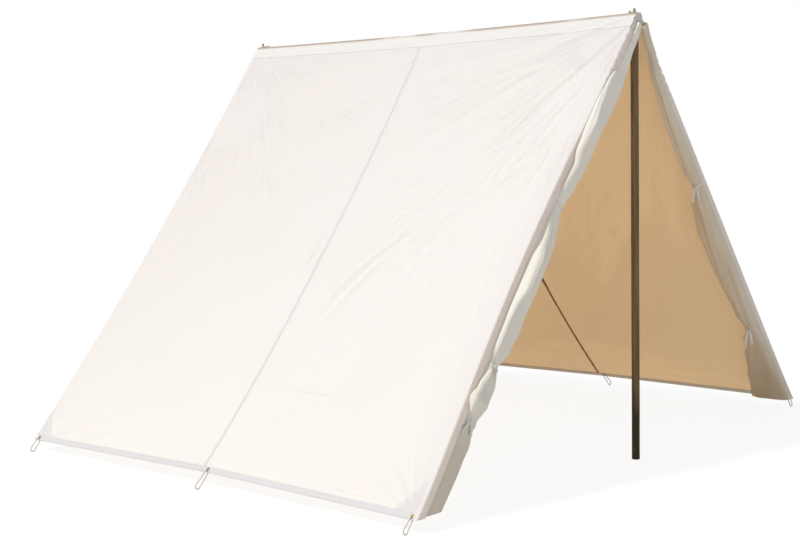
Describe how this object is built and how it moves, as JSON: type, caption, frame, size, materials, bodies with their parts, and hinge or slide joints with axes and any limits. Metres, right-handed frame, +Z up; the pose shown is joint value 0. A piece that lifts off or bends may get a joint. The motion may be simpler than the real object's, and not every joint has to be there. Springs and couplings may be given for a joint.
{
  "type": "wedge tent",
  "caption": "Wedge-shaped canvas tent: sagging slopes over a timber ridge pole on round uprights, open front with gathered, tied-back door flaps, closed rear and cord peg loops.",
  "frame": {"origin": "centre of the front upright's foot, on the ground", "axes": "+Z up, +Y from the open front to the closed rear along the ridge, +X to the right as seen from the front"},
  "size_m": [3.384, 2.6131, 2.124],
  "materials": {
    "canvas": "undyed cotton canvas, matt, slightly translucent",
    "sewn_band": "doubled canvas, sewn on, matt",
    "tape": "woven cotton tape, matt",
    "cord": "twisted natural cord, matt",
    "timber": "dark oiled timber",
    "steel": "dull steel",
    "brass": "dull brass"
  },
  "bodies": {
    "tent": {"front_ridge_grommet": "brass", "front_ridge_loop": "cord", "rear_ridge_grommet": "brass", "rear_ridge_loop": "cord", "ridge_pole": "timber", "ridge_band": "sewn_band", "left_slope_front_panel": "canvas", "left_slope_rear_panel": "canvas", "left_slope_seam": "sewn_band", "left_hem_band": "sewn_band", "left_front_corner_patch": "sewn_band", "left_rear_corner_patch": "sewn_band", "rear_wall_left": "canvas", "left_door_facing": "canvas", "left_flap_head": "canvas", "left_front_hem_grommet": "brass", "left_front_peg_loop": "cord", "left_seam_hem_grommet": "brass", "left_seam_peg_loop": "cord", "left_rear_hem_grommet": "brass", "left_rear_peg_loop": "cord", "right_slope_front_panel": "canvas", "right_slope_rear_panel": "canvas", "right_slope_seam": "sewn_band", "right_hem_band": "sewn_band", "right_front_corner_patch": "sewn_band", "right_rear_corner_patch": "sewn_band", "rear_wall_right": "canvas", "right_door_facing": "canvas", "right_flap_head": "canvas", "right_front_hem_grommet": "brass", "right_front_peg_loop": "cord", "right_seam_hem_grommet": "brass", "right_seam_peg_loop": "cord", "right_rear_hem_grommet": "brass", "right_rear_peg_loop": "cord", "rear_wall_seam": "sewn_band", "rear_hem_band": "sewn_band", "rear_hem_grommet": "brass", "rear_peg_loop": "cord"},
    "front_upright": {"front_upright": "timber", "front_ferrule": "steel", "front_pin": "steel"},
    "rear_upright": {"rear_upright": "timber", "rear_ferrule": "steel", "rear_pin": "steel"},
    "left_door": {"left_door_flap": "canvas", "left_upper_tie": "tape", "left_middle_tie": "tape", "left_lower_tie": "tape"},
    "right_door": {"right_door_flap": "canvas", "right_upper_tie": "tape", "right_lower_tie": "tape"}
  },
  "joints": [
    {"name": "front_upright_swivel", "type": "hinge", "parent": "tent", "child": "front_upright", "pos_m": [0, 0, 0], "axis": [0, 0, 1], "continuous": true},
    {"name": "rear_upright_swivel", "type": "hinge", "parent": "tent", "child": "rear_upright", "pos_m": [0, 2.512, 0], "axis": [0, 0, 1], "continuous": true},
    {"name": "left_door_swing", "type": "hinge", "parent": "tent", "child": "left_door", "pos_m": [0.01106, -0.0254, 2.07116], "axis": [-0.6204, 0, -0.7842], "range_deg": [0, 75]},
    {"name": "right_door_swing", "type": "hinge", "parent": "tent", "child": "right_door", "pos_m": [-0.01106, -0.0454, 2.07116], "axis": [-0.6204, 0, 0.7842], "range_deg": [0, 75]}
  ]
}
